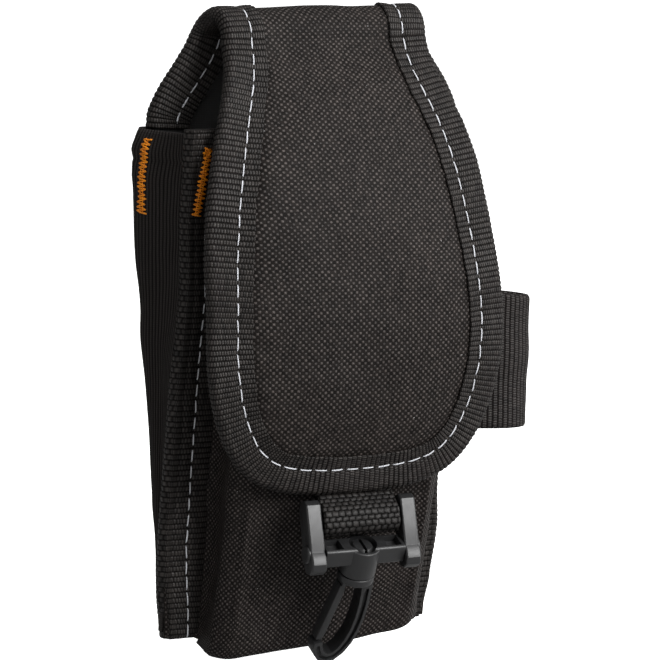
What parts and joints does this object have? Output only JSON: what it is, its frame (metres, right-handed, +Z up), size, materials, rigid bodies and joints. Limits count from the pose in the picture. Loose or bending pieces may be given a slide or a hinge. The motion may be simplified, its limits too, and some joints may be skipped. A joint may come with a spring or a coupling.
{
  "type": "electrician tool pouch",
  "caption": "Padded black belt pouch with a long flap lid, wedge-shaped elastic side gussets, a side tape loop and a plastic swivel snap hook.",
  "frame": {"origin": "centre of the flat rear face of the belt loop on the back", "axes": "+Z up along the pouch towards the fold of the lid, -Y towards the front with the lid and snap hook, +X to the right seen from the front"},
  "size_m": [0.1114, 0.0552, 0.1852],
  "materials": {
    "ballistic_fabric": "coarse ballistic polyester weave, matt with fine specks of sheen",
    "lining_fabric": "fine plain weave lining, matt",
    "foam_pad": "closed-cell foam",
    "binding_tape": "ribbed grosgrain tape, slight sheen on the ribs",
    "elastic_band": "fine ribbed knitted elastic",
    "heavy_webbing": "coarse chevron webbing",
    "closure_tape": "hook and loop pile",
    "grey_thread": "twisted thread, satin",
    "orange_thread": "bright satin thread",
    "moulded_plastic": "moulded acetal, satin"
  },
  "bodies": {
    "root": {"back_shell": "ballistic_fabric", "back_foam": "foam_pad", "back_lining": "lining_fabric", "neck_binding": "binding_tape", "neck_stitching": "grey_thread", "front_shell": "ballistic_fabric", "seam_binding": "binding_tape", "seam_stitching": "grey_thread", "opening_binding": "binding_tape", "elastic_gusset_left": "elastic_band", "elastic_gusset_right": "elastic_band", "mouth_bartacks": "orange_thread", "loop_tape_patch": "closure_tape", "hook_webbing": "heavy_webbing", "side_loop": "binding_tape", "belt_loop": "heavy_webbing", "belt_loop_bartacks": "orange_thread"},
    "fold": {"fold_shell": "ballistic_fabric", "fold_foam": "foam_pad", "fold_lining": "lining_fabric", "fold_binding": "binding_tape", "fold_stitching": "grey_thread"},
    "flap": {"flap_shell": "ballistic_fabric", "flap_foam": "foam_pad", "flap_lining": "lining_fabric", "flap_binding": "binding_tape", "flap_stitching": "grey_thread", "hook_tape_patch": "closure_tape"},
    "frame": {"hook_frame": "moulded_plastic"},
    "yoke": {"swivel_yoke": "moulded_plastic"},
    "hook": {"snap_hook": "moulded_plastic"},
    "gate": {"snap_gate": "moulded_plastic"}
  },
  "joints": [
    {"name": "flap_lift", "type": "hinge", "parent": "root", "child": "fold", "pos_m": [0, -0.0089, 0.069], "axis": [-1, 0, 0], "range_deg": [0, 80]},
    {"name": "flap_tip", "type": "hinge", "parent": "fold", "child": "flap", "pos_m": [0, -0.0218, 0.069], "axis": [-1, 0, 0], "range_deg": [0, 80]},
    {"name": "frame_swing", "type": "hinge", "parent": "root", "child": "frame", "pos_m": [0.0014, -0.04735, -0.0628], "axis": [-1, 0, 0], "range_deg": [0, 60]},
    {"name": "yoke_pivot", "type": "hinge", "parent": "frame", "child": "yoke", "pos_m": [0.0014, -0.04975, -0.07064], "axis": [-1, 0, 0], "range_deg": [0, 70]},
    {"name": "hook_swivel", "type": "hinge", "parent": "yoke", "child": "hook", "pos_m": [0.0014, -0.04975, -0.07064], "axis": [0, -0.3907, 0.9205], "continuous": true},
    {"name": "gate_flex", "type": "hinge", "parent": "hook", "child": "gate", "pos_m": [-0.0025, -0.0456, -0.0804], "axis": [0, -0.9205, -0.3907], "range_deg": [0, 14], "stiffness_Nm_per_rad": 0.0003}
  ],
  "couplings": [
    {"joint": "flap_tip", "follows": "flap_lift", "ratio": 1}
  ]
}
